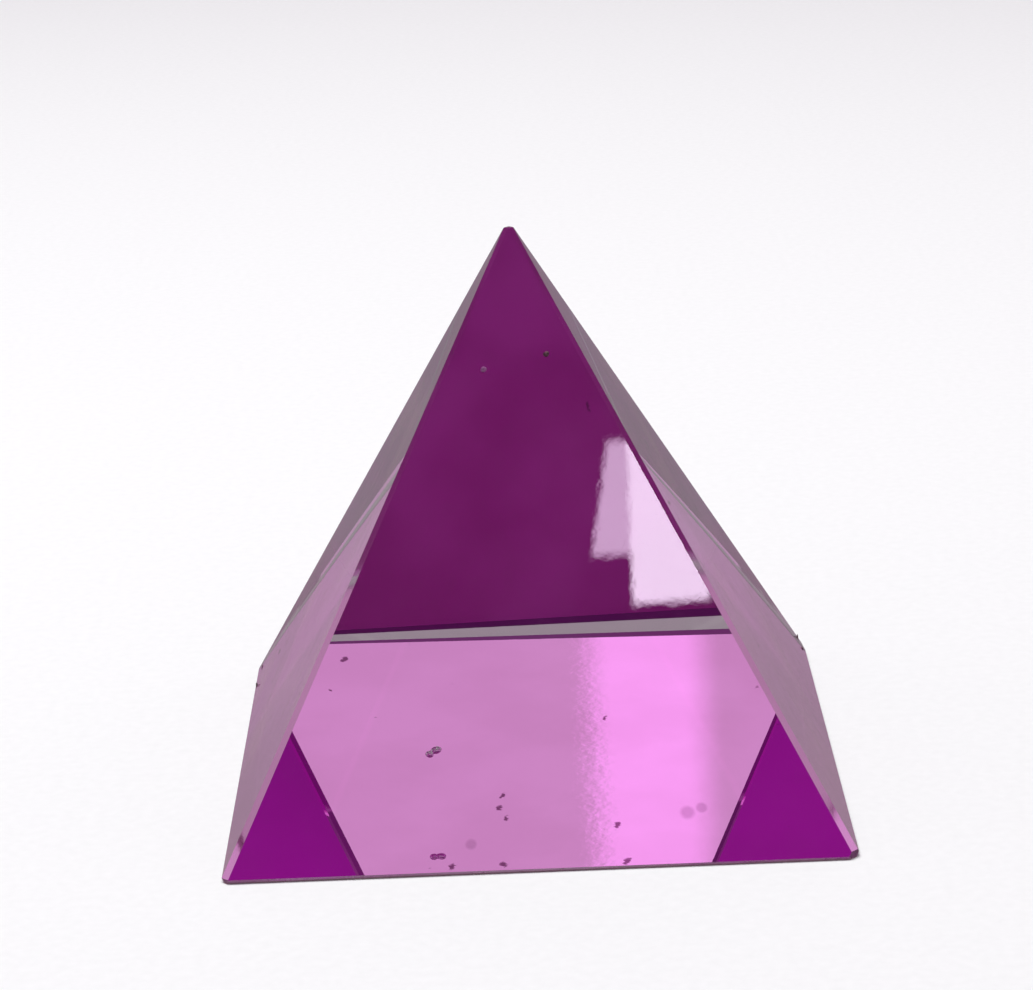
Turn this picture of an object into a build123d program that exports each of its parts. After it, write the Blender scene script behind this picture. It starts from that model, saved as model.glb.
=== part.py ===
"""Glass pyramid paperweight: a solid clear body on a purple colour coat.

The origin is the centre of the resting face, +Z points at the tip and the front face
looks towards -Y. The faces, bevels and corners are ground by hand, so the tip sits a
little off centre and each bevel has its own width at each end.
"""
from build123d import *
import os
from math import radians, tan

os.makedirs("parts", exist_ok=True)

# Driving dimensions, in millimetres.
BLOCK_SIDE = 64.0           # side of the block of glass the faces are ground from
BASE_SIDE = 60.0            # side of the square base, before bevelling
HEIGHT = 55.7               # glass base to the point where the four faces would meet
TIP_OFFSET = -0.65          # that point is this far off centre, along X
COAT_THICKNESS = 0.12       # purple lacquer under the glass
TIP_SIDE = 0.9              # side of the small flat ground on the tip
TIP_ROUNDING = 0.25         # radius around that flat

HALF = BASE_SIDE / 2
GLASS_BOTTOM = COAT_THICKNESS
TIP_HEIGHT = HEIGHT * (1 - TIP_SIDE / BASE_SIDE)

# Sharp corners and tip, which the faces and bevels are set out from.
FRONT_LEFT = Vector(-HALF, -HALF, GLASS_BOTTOM)
FRONT_RIGHT = Vector(HALF, -HALF, GLASS_BOTTOM)
REAR_LEFT = Vector(-HALF, HALF, GLASS_BOTTOM)
REAR_RIGHT = Vector(HALF, HALF, GLASS_BOTTOM)
APEX = Vector(TIP_OFFSET, 0, GLASS_BOTTOM + HEIGHT)

# Outward unit normals of the five faces.
FRONT = Vector(0, -HEIGHT, HALF).normalized()
REAR = Vector(0, HEIGHT, HALF).normalized()
LEFT = Vector(-HEIGHT, 0, HALF + TIP_OFFSET).normalized()
RIGHT = Vector(HEIGHT, 0, HALF - TIP_OFFSET).normalized()
UNDER = Vector(0, 0, -1)

# Each bevel: edge start and end, which way it faces, the two faces it joins, its width
# at the start and at the end. The rear bottom bevel is ground flatter than the others.
REAR_UNDER = REAR * 0.72 + UNDER
BEVELS = [
    (FRONT_LEFT, FRONT_RIGHT, FRONT + UNDER, FRONT, UNDER, 0.35, 0.25),
    (REAR_LEFT, REAR_RIGHT, REAR_UNDER, REAR, UNDER, 0.58, 1.72),
    (FRONT_LEFT, REAR_LEFT, LEFT + UNDER, LEFT, UNDER, 0.35, 0.50),
    (FRONT_RIGHT, REAR_RIGHT, RIGHT + UNDER, RIGHT, UNDER, 0.45, 0.40),
    (FRONT_LEFT, APEX, FRONT + LEFT, FRONT, LEFT, 0.90, 0.55),
    (FRONT_RIGHT, APEX, FRONT + RIGHT, FRONT, RIGHT, 0.90, 0.55),
    (REAR_LEFT, APEX, REAR + LEFT, REAR, LEFT, 0.65, 0.60),
    (REAR_RIGHT, APEX, REAR + RIGHT, REAR, RIGHT, 0.45, 0.50),
]

# Each corner facet: the sharp corner, which way it faces, how deep it is ground.
CORNERS = [
    (FRONT_LEFT, FRONT + LEFT + UNDER, 0.70),
    (FRONT_RIGHT, FRONT + RIGHT + UNDER, 0.95),
    (REAR_LEFT, REAR + LEFT + UNDER, 0.55),
    (REAR_RIGHT, REAR + RIGHT + UNDER, 0.60),
]


def bevel_plane(start, end, facing, face_a, face_b, width_start, width_end):
    """The plane of a bevel that is this wide at each end of a sharp edge."""
    outward = facing.normalized()
    # A bevel of this depth below the sharp edge is one unit wide.
    unit_depth = 1 / sum(1 / tan(radians(outward.get_angle(face))) for face in (face_a, face_b))
    low = start - outward * (width_start * unit_depth)
    high = end - outward * (width_end * unit_depth)
    normal = (high - low).cross((end - start).cross(outward))
    if normal.dot(outward) < 0:
        normal = normal * -1
    return Plane(origin=low, z_dir=normal)


# The solid body: a block ground to four faces, its tip blunted, every edge bevelled.
with BuildPart() as glass_pyramid:
    with Locations((0, 0, GLASS_BOTTOM + TIP_HEIGHT / 2)):
        Box(BLOCK_SIDE, BLOCK_SIDE, TIP_HEIGHT)
    for face_normal in (FRONT, REAR, LEFT, RIGHT):
        split(bisect_by=Plane(origin=APEX, z_dir=face_normal), keep=Keep.BOTTOM)
    for bevel in BEVELS:
        split(bisect_by=bevel_plane(*bevel), keep=Keep.BOTTOM)
    for corner, facing, depth in CORNERS:
        outward = facing.normalized()
        split(bisect_by=Plane(origin=corner - outward * depth, z_dir=outward), keep=Keep.BOTTOM)
    tip_flat = glass_pyramid.faces().sort_by(Axis.Z)[-1]
    fillet(tip_flat.edges(), radius=TIP_ROUNDING)

# The coat: lacquer over the whole flat underside, up to the inner edges of the bevels.
with BuildPart() as base_colour_coat:
    underside = glass_pyramid.faces().sort_by(Axis.Z)[0]
    extrude(underside, amount=COAT_THICKNESS)

glass_pyramid.part.label = "glass_pyramid"
base_colour_coat.part.label = "base_colour_coat"
for piece in (glass_pyramid.part, base_colour_coat.part):
    export_step(piece, f"parts/{piece.label}.step")
    box = piece.bounding_box()
    print(f"{piece.label}: {piece.volume:.1f} mm3, X {box.min.X:.2f} {box.max.X:.2f},"
          f" Y {box.min.Y:.2f} {box.max.Y:.2f}, Z {box.min.Z:.2f} {box.max.Z:.2f}")
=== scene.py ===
"""Looks of the glass pyramid paperweight: optical glass on a purple lacquer base.

Everything is in metres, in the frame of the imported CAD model: the origin is the centre of
the resting face, +Z points at the tip and the front face looks towards -Y.
"""
import random
from math import pi, radians

import bmesh
import bpy
from mathutils import Matrix, Vector


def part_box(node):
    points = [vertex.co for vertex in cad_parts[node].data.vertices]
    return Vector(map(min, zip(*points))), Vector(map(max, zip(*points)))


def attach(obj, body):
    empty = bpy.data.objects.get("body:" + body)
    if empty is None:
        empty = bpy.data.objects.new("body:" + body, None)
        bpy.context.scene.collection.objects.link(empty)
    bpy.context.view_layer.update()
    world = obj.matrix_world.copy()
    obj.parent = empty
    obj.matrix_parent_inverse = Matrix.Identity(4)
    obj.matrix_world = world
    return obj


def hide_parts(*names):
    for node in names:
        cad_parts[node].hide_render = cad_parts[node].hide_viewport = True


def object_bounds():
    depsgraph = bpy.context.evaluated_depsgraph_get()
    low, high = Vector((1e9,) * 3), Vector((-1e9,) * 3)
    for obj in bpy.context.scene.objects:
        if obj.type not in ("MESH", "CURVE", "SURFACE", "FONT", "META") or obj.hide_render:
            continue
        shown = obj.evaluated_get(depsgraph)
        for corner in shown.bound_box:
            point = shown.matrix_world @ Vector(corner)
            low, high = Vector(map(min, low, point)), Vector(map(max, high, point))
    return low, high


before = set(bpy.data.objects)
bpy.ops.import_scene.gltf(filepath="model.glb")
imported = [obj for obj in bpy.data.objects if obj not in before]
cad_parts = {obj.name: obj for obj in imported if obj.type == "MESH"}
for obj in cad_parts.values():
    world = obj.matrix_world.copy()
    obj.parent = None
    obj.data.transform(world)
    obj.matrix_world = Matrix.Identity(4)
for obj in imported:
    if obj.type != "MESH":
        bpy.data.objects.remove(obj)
cad_low, cad_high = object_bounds()
glass_low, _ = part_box("glass_pyramid")
MM = 0.001
GLASS_IOR = 1.55
BOND_GAP = 0.004 * MM       # the glass piece stops this far above the coat's own top
SAME_POINT = 0.0005 * MM    # CAD mesh points closer than this are one corner
ON_UNDERSIDE = 0.001 * MM   # points this close to the glass's lowest level are on it
LEAST_SIDE_AREA = 200 * MM * MM     # the four sides are larger, the bevels and tip smaller
FLOOR_GAP = 0.02 * MM       # the floor lies this far below the coat
FLOOR_RADIUS = 2.0


# ---------------------------------------------------------------- node helpers

class Nodes:
    """Adds nodes to one tree. An input takes a plain value or another node's output."""

    def __init__(self, tree):
        self.tree = tree
        tree.nodes.clear()

    def add(self, kind, inputs=(), **settings):
        node = self.tree.nodes.new("ShaderNode" + kind)
        for name, value in settings.items():
            setattr(node, name, value)
        for name, value in dict(inputs).items():
            socket = node.inputs[name]
            if isinstance(value, bpy.types.NodeSocket):
                self.tree.links.new(value, socket)
            else:
                socket.default_value = value
        return node

    def math(self, operation, a, b=0.0, c=0.0):
        return self.add("Math", {0: a, 1: b, 2: c}, operation=operation).outputs[0]

    def plus(self, a, b):
        return self.math("ADD", a, b)

    def minus(self, a, b):
        return self.math("SUBTRACT", a, b)

    def times(self, a, *others):
        for other in others:
            a = self.math("MULTIPLY", a, other)
        return a

    def line(self, value, slope, start):
        """slope * value + start"""
        return self.math("MULTIPLY_ADD", value, slope, start)

    def smooth(self, value, low, high):
        """0 at low, 1 at high, and a smooth step between them."""
        inputs = {"Value": value, "From Min": low, "From Max": high}
        return self.add("MapRange", inputs, interpolation_type="SMOOTHSTEP").outputs[0]

    def noise(self, place, scale, detail=2.0, **inputs):
        inputs = {"Vector": place, "Scale": scale, "Detail": detail, **inputs}
        return self.add("TexNoise", inputs).outputs[0]

    def stretched(self, place, across, along, up):
        scale = {"Vector": place, "Scale": (across, along, up)}
        return self.add("Mapping", scale).outputs[0]

    def mix(self, factor, a, b):
        """Colour a where factor is 0, b where it is 1."""
        return self.add("Mix", {0: factor, 6: a, 7: b}, data_type="RGBA").outputs[2]

    def mix_shader(self, factor, a, b):
        return self.add("MixShader", {0: factor, 1: a, 2: b}).outputs[0]

    def spot(self, place, x, y, radius):
        """1 in the middle of a spot of the base plane, fading to 0 at its edge. Its place and
        radius are in mm, and it is about twice as long from front to back as it is wide."""
        offset = self.add("VectorMath", {0: place, 1: (x * MM, y * MM, 0.0)}, operation="SUBTRACT")
        long_spot = {0: offset.outputs[0], 1: (1, 0.45, 0)}
        flat = self.add("VectorMath", long_spot, operation="MULTIPLY").outputs[0]
        distance = self.add("VectorMath", {0: flat}, operation="LENGTH").outputs["Value"]
        return self.smooth(distance, radius * MM, radius * 0.45 * MM)

    def finish(self, shader, kind="OutputMaterial"):
        self.add(kind, {"Surface": shader})


def rgb(red, green, blue):
    return (red, green, blue, 1.0)


def new_material(name):
    material = bpy.data.materials.new(name)
    material.use_nodes = True
    return material, Nodes(material.node_tree)


# ---------------------------------------------------------------- studio

def soft_rectangle(n, across, up, left, right, bottom, top, soft):
    """1 inside a rectangle of directions, with edges fading over soft."""
    sides = n.times(n.smooth(across, left - soft, left + soft),
                    n.smooth(across, right + soft, right - soft))
    return n.times(sides, n.smooth(up, bottom - soft, bottom + soft),
                   n.smooth(up, top + soft, top - soft))


def studio_world():
    """The studio that the glass sees: a ring of soft pale panels round the object, a dark
    purple backdrop below it at the horizon, a dim room above it, a soft box behind and two
    window panes in front. Places are parts of a unit direction, so z is the sine of the
    height above the horizon. The camera itself sees plain pale grey."""
    world = bpy.data.worlds.new("studio")
    bpy.context.scene.world = world
    world.use_nodes = True
    n = Nodes(world.node_tree)
    direction = n.add("TexCoord").outputs["Generated"]
    x, y, z = n.add("SeparateXYZ", {0: direction}).outputs
    side = n.math("ABSOLUTE", x)
    in_front = n.math("LESS_THAN", y, 0.0)

    backdrop = n.mix(n.smooth(side, 0.46, 0.58), rgb(0.05, 0.002, 0.05), rgb(0.25, 0.004, 0.24))
    below = rgb(0.30, 0.28, 0.30)
    lower_panels = rgb(0.65, 0.62, 0.62)
    upper_panels = rgb(0.42, 0.44, 0.38)
    room = rgb(0.15, 0.07, 0.15)
    colour = below
    for start, full, tone in ((-0.09, -0.06, backdrop), (0.20, 0.29, lower_panels),
                              (0.39, 0.46, upper_panels), (0.50, 0.56, room)):
        colour = n.mix(n.smooth(z, start, full), colour, tone)

    box = soft_rectangle(n, x, z, left=0.018, right=0.049, bottom=0.24, top=0.46, soft=0.006)
    behind = n.times(box, n.smooth(y, 0.80, 0.90))
    colour = n.mix(behind, colour, rgb(1.05, 0.90, 1.05))
    leaning = n.minus(x, n.line(z, 0.22, -0.1383))      # the left pane leans right as it rises
    left_pane = soft_rectangle(n, leaning, z, left=0.0195, right=0.0340,
                               bottom=0.6285, top=0.6530, soft=0.0015)
    right_pane = soft_rectangle(n, x, z, left=0.0305, right=0.0520,
                                bottom=0.6175, top=0.6530, soft=0.0015)
    colour = n.mix(n.times(left_pane, in_front), colour, rgb(9.5, 7.2, 10.0))
    colour = n.mix(n.times(right_pane, in_front), colour, rgb(16.0, 13.5, 17.0))

    studio = n.add("Background", {"Color": colour}).outputs[0]
    pale = n.add("Background", {"Color": rgb(0.86, 0.86, 0.86)}).outputs[0]
    seen = n.add("LightPath").outputs["Is Camera Ray"]
    n.finish(n.mix_shader(seen, studio, pale), "OutputWorld")


def floor_material():
    """Pale paper, which fades into the pale background far away. To the glass it is a
    darker mauve grey, and only the paper near the object is there. The glass would otherwise
    mirror a pale floor up to the horizon."""
    material, n = new_material("paper_floor")
    seen = n.add("LightPath").outputs["Is Camera Ray"]
    position = n.add("NewGeometry").outputs["Position"]
    radius = n.add("VectorMath", {0: position}, operation="LENGTH").outputs["Value"]
    grain = n.line(n.noise(position, 900.0), 0.20, 0.72)
    paper = n.add("CombineColor", {0: grain, 1: grain, 2: grain}).outputs[0]
    pale = n.mix(0.3, rgb(0.88, 0.94, 0.90), paper)
    mauve_grey = rgb(0.275, 0.235, 0.262)
    colour = n.mix(seen, mauve_grey, pale)
    fade_for_glass = n.smooth(radius, 0.085, 0.13)
    fade_for_camera = n.smooth(radius, 1.2, 1.9)
    fade = n.add("Mix", {0: seen, 2: fade_for_glass, 3: fade_for_camera}).outputs[0]
    matt = n.add("BsdfDiffuse", {"Color": colour}).outputs[0]
    clear = n.add("BsdfTransparent").outputs[0]
    n.finish(n.mix_shader(fade, matt, clear))
    return material


def make_floor():
    mesh = bpy.data.meshes.new("floor")
    shape = bmesh.new()
    bmesh.ops.create_circle(shape, cap_ends=True, radius=FLOOR_RADIUS, segments=96)
    shape.to_mesh(mesh)
    shape.free()
    floor = bpy.data.objects.new("floor", mesh)
    bpy.context.scene.collection.objects.link(floor)
    floor.location.z = cad_low.z - FLOOR_GAP
    mesh.materials.append(floor_material())


def make_lamp():
    """A large soft box overhead. It lights the paper and stays out of the reflections."""
    lamp = bpy.data.lights.new("soft_box", "AREA")
    lamp.shape = "DISK"
    lamp.size = 0.9
    lamp.energy = 13.0
    box = bpy.data.objects.new("soft_box", lamp)
    box.location = (-0.15, 0.1, 1.1)
    box.rotation_euler = (-box.location).to_track_quat("-Z", "Y").to_euler()
    box.visible_camera = False
    box.visible_glossy = False
    box.visible_transmission = False
    bpy.context.scene.collection.objects.link(box)


def make_camera():
    """A long lens about 360 mm from the object, looking down at it, with a slight roll."""
    data = bpy.data.cameras.new("camera")
    data.sensor_width = 36.0
    data.lens = 124.34
    data.clip_start, data.clip_end = 0.01, 20.0
    camera = bpy.data.objects.new("camera", data)
    look_down, turn, roll = radians(16.636), radians(0.060), radians(-2.305)
    aim = Matrix.Rotation(turn, 3, "Z") @ Matrix.Rotation(pi / 2 - look_down, 3, "X")
    camera.rotation_euler = (aim @ Matrix.Rotation(roll, 3, "Z")).to_euler()
    camera.location = (-0.549 * MM, -338.617 * MM, 129.062 * MM)
    bpy.context.scene.collection.objects.link(camera)
    bpy.context.scene.camera = camera


# ---------------------------------------------------------------- materials

def glass_shader(n, roughness, dust_amount, normal=None):
    """Glass under a thin film of dust and finger marks, which only dulls its outside."""
    place = n.add("TexCoord").outputs["Object"]
    inputs = {"Color": rgb(1, 1, 1), "Roughness": roughness, "IOR": GLASS_IOR}
    if normal:
        inputs["Normal"] = normal
    glass = n.add("BsdfGlass", inputs).outputs[0]
    cloudy = n.smooth(n.noise(place, 90.0, 4.0), 0.38, 0.72)
    streaks = n.smooth(n.noise(n.stretched(place, 1.0, 1.0, 0.25), 420.0, 3.0), 0.50, 0.75)
    grains = n.smooth(n.noise(place, 2600.0, 1.0), 0.70, 0.80)
    film = n.plus(n.line(cloudy, 0.50, 0.15), n.plus(n.times(streaks, 0.35), grains))
    outside = n.minus(1.0, n.add("NewGeometry").outputs["Backfacing"])
    tone = n.mix(cloudy, rgb(0.42, 0.35, 0.33), rgb(0.55, 0.47, 0.42))
    dust = n.add("BsdfDiffuse", {"Color": tone}).outputs[0]
    return n.mix_shader(n.times(film, outside, dust_amount), glass, dust)


def clear_glass():
    """The front and rear faces, well polished but very slightly wavy."""
    material, n = new_material("clear_glass")
    place = n.add("TexCoord").outputs["Object"]
    fine = n.smooth(n.noise(place, 300.0, 3.0), 0.45, 0.75)
    waves = n.noise(place, 900.0, 2.0)
    wavy = n.add("Bump", {"Strength": 1.0, "Distance": 4.0e-7, "Height": waves}).outputs[0]
    n.finish(glass_shader(n, n.times(fine, 0.004), 0.010, wavy))
    return material


def dusty_glass():
    """The left and right faces, polished but dustier."""
    material, n = new_material("dusty_glass")
    place = n.add("TexCoord").outputs["Object"]
    fine = n.smooth(n.noise(place, 200.0, 3.0), 0.40, 0.75)
    n.finish(glass_shader(n, n.line(fine, 0.02, 0.004), 0.22))
    return material


def ground_glass():
    """The front ridges and the tip, ground and only half polished."""
    material, n = new_material("ground_glass")
    place = n.add("TexCoord").outputs["Object"]
    pits = n.noise(place, 2400.0, 3.0)
    bump = n.add("Bump", {"Strength": 0.5, "Distance": 4.0e-6, "Height": pits}).outputs[0]
    roughness = n.line(n.smooth(n.noise(place, 350.0), 0.3, 0.7), 0.08, 0.07)
    n.finish(glass_shader(n, roughness, 0.025, bump))
    return material


def worn_glass():
    """The front edge and the corners of the base, scratched white by handling."""
    material, n = new_material("worn_glass")
    place = n.add("TexCoord").outputs["Object"]
    scratches = n.noise(n.stretched(place, 0.3, 1.0, 1.0), 1500.0, 3.0)
    n.finish(glass_shader(n, n.line(n.smooth(scratches, 0.3, 0.7), 0.15, 0.20), 0.55))
    return material


def bevel_glass():
    """The other bevels, better polished, with fine grinding lines."""
    material, n = new_material("bevel_glass")
    place = n.add("TexCoord").outputs["Object"]
    lines = n.noise(n.stretched(place, 0.04, 1.0, 1.0), 3000.0, 2.0)
    bump = n.add("Bump", {"Strength": 0.3, "Distance": 1.0e-6, "Height": lines}).outputs[0]
    roughness = n.line(n.smooth(n.noise(place, 260.0), 0.4, 0.8), 0.05, 0.01)
    n.finish(glass_shader(n, roughness, 0.04, bump))
    return material


def bonded_lacquer():
    """The purple coat as the glass shows it: body colour seen steeply, mirror at a slant.
    Its orange peel is strongest along a line and near the front, where the coat was sprayed
    thick. Specks of dirt are trapped in it, and three faint stains."""
    material, n = new_material("bonded_lacquer")
    place = n.add("TexCoord").outputs["Object"]
    x, y, _ = n.add("SeparateXYZ", {0: place}).outputs
    from_line = n.math("ABSOLUTE", n.minus(x, n.line(y, -0.13, 4.4 * MM)))
    thick_line = n.smooth(from_line, 9.0 * MM, 1.0 * MM)
    thick_front = n.times(n.smooth(y, -14.0 * MM, -24.0 * MM), n.smooth(x, 4.0 * MM, 8.0 * MM),
                          n.smooth(x, 15.0 * MM, 11.0 * MM), 0.7)
    peel = n.noise(place, 950.0, 2.0)
    amount = n.line(n.math("MAXIMUM", thick_line, thick_front), 0.93, 0.07)
    height = n.times(peel, amount)
    bump = n.add("Bump", {"Strength": 1.0, "Distance": 3.2e-6, "Height": height}).outputs[0]

    wander = n.times(n.minus(n.noise(place, 1500.0, 2.0), 0.5), 1.2 * MM)
    ragged = n.add("VectorMath", {0: place, 1: wander}, operation="ADD").outputs[0]
    marks = (       # x, y and radius in mm
        (-19.3, 24.2, 0.38), (-20.6, 16.0, 0.25), (7.4, -20.1, 0.42), (7.0, 5.9, 0.30),
        (8.1, -28.4, 0.38), (-3.3, -12.0, 0.30), (-3.7, -15.0, 0.36), (-3.1, -17.5, 0.34),
        (-3.4, -28.0, 0.40), (-8.4, -28.2, 0.36),
    )
    dirt = 0.0
    for mark_x, mark_y, radius in marks:
        dirt = n.math("MAXIMUM", dirt, n.spot(ragged, mark_x, mark_y, radius))
    random_dirt = n.smooth(n.noise(place, 520.0, 2.0), 0.745, 0.78)
    dirt = n.math("MAXIMUM", n.times(dirt, 0.85), n.times(random_dirt, 0.45))
    stain = n.math("MAXIMUM", n.spot(place, 14.2, -17.8, 0.9), n.spot(place, 15.6, -16.8, 0.7))
    stain = n.math("MAXIMUM", stain, n.times(n.spot(place, -6.5, -23.2, 0.7), 0.8))
    dirt = n.math("MAXIMUM", dirt, n.times(stain, 0.30))

    slow = n.smooth(n.noise(place, 60.0, 3.0), 0.35, 0.65)
    paint = n.mix(slow, rgb(0.82, 0.050, 0.62), rgb(1.0, 0.095, 0.80))
    paint = n.mix(dirt, paint, rgb(0.25, 0.01, 0.20))
    body = n.add("BsdfDiffuse", {"Color": paint}).outputs[0]
    shine = n.mix(slow, rgb(0.94, 0.385, 0.88), rgb(1.0, 0.415, 0.95))
    shine = n.mix(dirt, shine, rgb(0.16, 0.01, 0.12))
    mirror = n.add("BsdfAnisotropic", {
        "Color": shine, "Roughness": 0.0, "Normal": bump,
    }).outputs[0]
    slant = n.add("Fresnel", {"IOR": GLASS_IOR}).outputs[0]
    n.finish(n.mix_shader(n.smooth(slant, 0.06, 0.5), body, mirror))
    return material


def purple_lacquer():
    """The coat from outside: satin purple with sprayed grain and a few scuffs. Its side faces are
    painted pale, a painted light that lightens the edge where it sits in shade."""
    material, n = new_material("purple_lacquer")
    place = n.add("TexCoord").outputs["Object"]
    grain = n.noise(place, 1800.0, 3.0)
    scuffs = n.smooth(n.noise(n.stretched(place, 0.15, 1.0, 1.0), 700.0, 3.0), 0.66, 0.74)
    slow = n.smooth(n.noise(place, 70.0, 3.0), 0.35, 0.65)
    colour = n.mix(slow, rgb(0.27, 0.010, 0.21), rgb(0.34, 0.016, 0.27))
    colour = n.mix(n.times(scuffs, 0.5), colour, rgb(0.50, 0.12, 0.44))
    # Painted light: faces that look sideways get a pale beige colour, lightening the coat's edge
    # where it sits in shade.
    facing = n.add("SeparateXYZ", {0: n.add("NewGeometry").outputs["Normal"]}).outputs[2]
    pale_edge_painted_light = n.smooth(n.math("ABSOLUTE", facing), 0.6, 0.4)
    colour = n.mix(n.times(pale_edge_painted_light, 0.85), colour, rgb(0.62, 0.50, 0.50))
    bump = n.add("Bump", {"Strength": 0.4, "Distance": 6.0e-6, "Height": grain}).outputs[0]
    paint = n.add("BsdfPrincipled", {
        "Base Color": colour, "Roughness": n.line(scuffs, 0.25, 0.28), "Normal": bump,
    })
    n.finish(paint.outputs[0])
    return material


def dark_dirt():
    """Dried dirt on the surface."""
    material, n = new_material("dark_dirt")
    place = n.add("TexCoord").outputs["Object"]
    patches = n.noise(place, 2500.0, 3.0)
    colour = n.mix(n.smooth(patches, 0.35, 0.65), rgb(0.05, 0.02, 0.035), rgb(0.20, 0.12, 0.13))
    bump = n.add("Bump", {"Strength": 0.6, "Distance": 2.0e-5, "Height": patches}).outputs[0]
    n.finish(n.add("BsdfPrincipled", {
        "Base Color": colour, "Roughness": 0.7, "Normal": bump,
    }).outputs[0])
    return material


def pale_lint():
    """A light crumb stuck to the front face."""
    material, n = new_material("pale_lint")
    place = n.add("TexCoord").outputs["Object"]
    patches = n.smooth(n.noise(place, 3200.0, 2.0), 0.35, 0.65)
    colour = n.mix(patches, rgb(0.36, 0.13, 0.33), rgb(0.56, 0.26, 0.52))
    n.finish(n.add("BsdfPrincipled", {"Base Color": colour, "Roughness": 0.8}).outputs[0])
    return material


# ---------------------------------------------------------------- pieces

CLEAR, BONDED, DUSTY, GROUND, BEVEL, WORN = range(6)      # the glass piece's material slots


def lump(shape, centre, axes, seed, roughness):
    """Adds an irregular closed lump to a bmesh: a small sphere, stretched and dented. Its
    centre and the half sizes along its axes are in mm."""
    rng = random.Random(seed)
    made = bmesh.ops.create_icosphere(shape, subdivisions=3, radius=1.0)["verts"]
    dents = [(Vector([rng.uniform(-1, 1) for _ in "xyz"]).normalized(), rng.uniform(-1, 1))
             for _ in range(6)]
    for vertex in made:
        out = vertex.co.normalized()
        swell = sum(depth * max(0.0, out.dot(way)) ** 3 for way, depth in dents)
        out = out * (1 + roughness * swell)
        vertex.co = Vector([c + a * o for c, a, o in zip(centre, axes, out)]) * MM


def surface_of(face):
    """Which of the six surfaces a face of the glass has, by its size and direction."""
    x, y, z = face.normal
    if z < -0.99:
        return BONDED
    if face.calc_area() > LEAST_SIDE_AREA:
        return DUSTY if abs(x) > 0.7 else CLEAR
    if y < -0.3:
        return WORN if z < 0.2 else GROUND
    return GROUND if z > 0.9 else BEVEL


def glass_body():
    """The glass, taken from the CAD mesh with its faces joined up again, and the air bubble
    low inside it."""
    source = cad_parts["glass_pyramid"]
    shape = bmesh.new()
    shape.from_mesh(source.data)
    bmesh.ops.remove_doubles(shape, verts=shape.verts, dist=SAME_POINT)
    bmesh.ops.dissolve_limit(shape, angle_limit=radians(0.2), verts=shape.verts,
                             edges=shape.edges)
    bmesh.ops.recalc_face_normals(shape, faces=shape.faces)
    for vertex in shape.verts:
        if vertex.co.z < glass_low.z + ON_UNDERSIDE:
            vertex.co.z += BOND_GAP
    for face in shape.faces:
        face.smooth = False
        face.material_index = surface_of(face)

    skin = set(shape.faces)
    lump(shape, (-10.2, -13.8, 5.55), (0.42, 0.34, 0.30), 3, 0.35)
    lump(shape, (-9.55, -13.3, 5.75), (0.50, 0.36, 0.33), 8, 0.30)
    cavity = [face for face in shape.faces if face not in skin]
    bmesh.ops.reverse_faces(shape, faces=cavity)
    for face in cavity:
        face.smooth = True

    mesh = bpy.data.meshes.new("glass_body")
    for make_material in (clear_glass, bonded_lacquer, dusty_glass, ground_glass,
                          bevel_glass, worn_glass):     # in the order of the slots above
        mesh.materials.append(make_material())
    shape.to_mesh(mesh)
    shape.free()
    body = bpy.data.objects.new("glass_body", mesh)
    bpy.context.scene.collection.objects.link(body)
    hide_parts("glass_pyramid")
    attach(body, "root")


def dirt_specks():
    """Specks of dirt on the front face and at the rear lower corners, and one pale crumb."""
    shape = bmesh.new()
    specks = (      # centre and half sizes
        ((2.48, -6.50, 43.80), (0.30, 0.12, 0.26)),
        ((-29.20, 26.80, 1.65), (0.07, 0.90, 0.12)),
        ((-29.55, 22.50, 0.95), (0.12, 0.45, 0.30)),
        ((28.95, 28.00, 2.05), (0.10, 0.28, 0.45)),
        ((29.36, 26.40, 1.30), (0.09, 0.32, 0.20)),
    )
    for seed, (centre, axes) in enumerate(specks):
        lump(shape, centre, axes, seed, 0.6)
    dark = set(shape.faces)
    lump(shape, (-3.60, -7.12, 42.70), (0.32, 0.10, 0.30), 11, 0.4)
    for face in shape.faces:
        face.material_index = 0 if face in dark else 1
    mesh = bpy.data.meshes.new("dirt_specks")
    mesh.materials.append(dark_dirt())
    mesh.materials.append(pale_lint())
    shape.to_mesh(mesh)
    shape.free()
    dirt = bpy.data.objects.new("dirt_specks", mesh)
    bpy.context.scene.collection.objects.link(dirt)
    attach(dirt, "root")


def paint_coat():
    """The coat keeps its CAD shape. Only its underside and edges show."""
    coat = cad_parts["base_colour_coat"]
    coat.data.materials.clear()
    coat.data.materials.append(purple_lacquer())


studio_world()
make_floor()
make_lamp()
make_camera()
glass_body()
dirt_specks()
paint_coat()

scene = bpy.context.scene
scene.view_settings.view_transform = "Standard"
scene.cycles.max_bounces = 24
scene.cycles.glossy_bounces = 16
scene.cycles.transmission_bounces = 16
